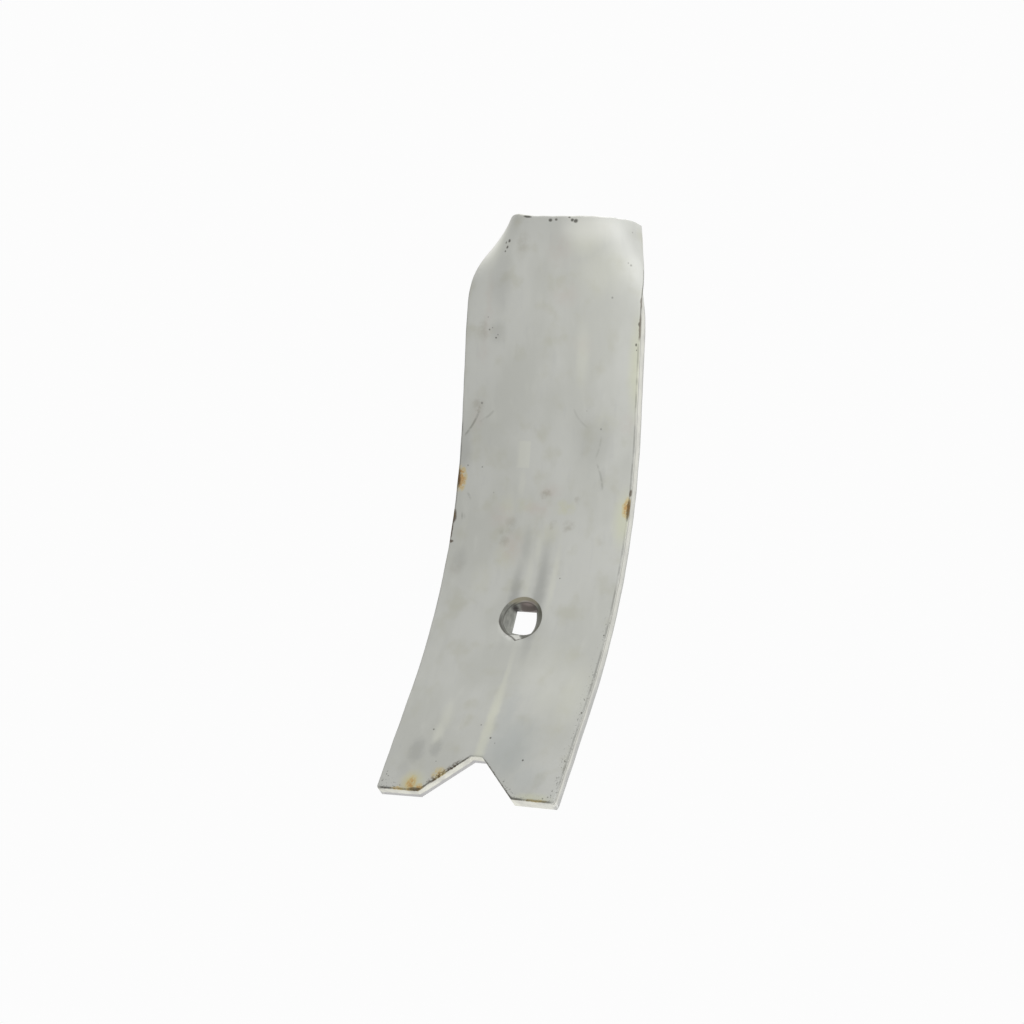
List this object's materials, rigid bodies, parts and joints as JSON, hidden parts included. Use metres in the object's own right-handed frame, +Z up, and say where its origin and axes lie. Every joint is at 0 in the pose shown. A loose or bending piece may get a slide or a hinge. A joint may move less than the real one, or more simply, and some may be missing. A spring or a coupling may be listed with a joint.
{
  "type": "cultivator point",
  "caption": "Bent flat-steel soil-working point for a tine, with a notched lower end, rolled top corners and a countersunk square bolt hole.",
  "frame": {"origin": "middle of the bolt hole on the front face", "axes": "-Y out of the front face along the bolt, +Z up the plate at the hole, X across the plate"},
  "size_m": [0.1, 0.0756, 0.305],
  "materials": {
    "painted_steel": "thin satin grey paint over bent steel, scuffed, with rust along a few edges"
  },
  "bodies": {
    "root": {"point": "painted_steel"}
  },
  "joints": []
}
